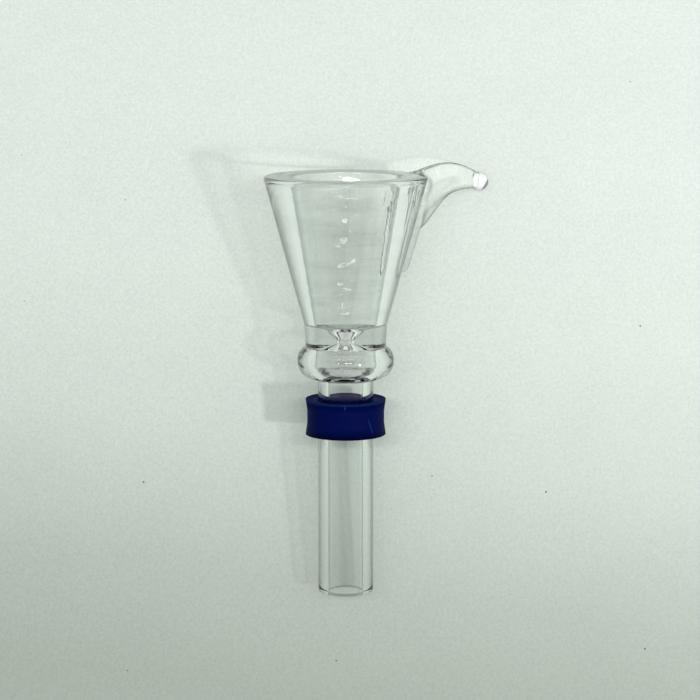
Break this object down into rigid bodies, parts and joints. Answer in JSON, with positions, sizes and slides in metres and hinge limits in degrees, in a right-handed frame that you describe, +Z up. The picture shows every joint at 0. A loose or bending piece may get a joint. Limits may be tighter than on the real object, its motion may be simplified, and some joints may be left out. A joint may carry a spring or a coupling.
{
  "type": "glass funnel",
  "caption": "Thick-walled hand-blown glass funnel with a pinched floor, hollow grip ring, hooked side handle and straight stem, sliding in a rubber grommet.",
  "frame": {"origin": "centre of the grommet, on the funnel's axis, where the grommet sits in a wall", "axes": "+Z up the funnel's axis to its mouth; +X towards the handle; -Z out of the open end of the stem"},
  "size_m": [0.0397, 0.0266, 0.0707],
  "materials": {
    "clear_glass": "clear flame-worked borosilicate, fire-polished",
    "blue_rubber": "moulded navy rubber, satin"
  },
  "bodies": {
    "grommet": {"grommet": "blue_rubber"},
    "glass": {"bowl_cone": "clear_glass", "bowl_floor": "clear_glass", "grip_ring": "clear_glass", "stem_tube": "clear_glass", "handle_strap": "clear_glass", "handle_horn": "clear_glass", "handle_tip": "clear_glass"}
  },
  "joints": [
    {"name": "stem_slide", "type": "slide", "parent": "grommet", "child": "glass", "axis": [0, 0, 1], "range_m": [-0.0035, 0.035]}
  ]
}
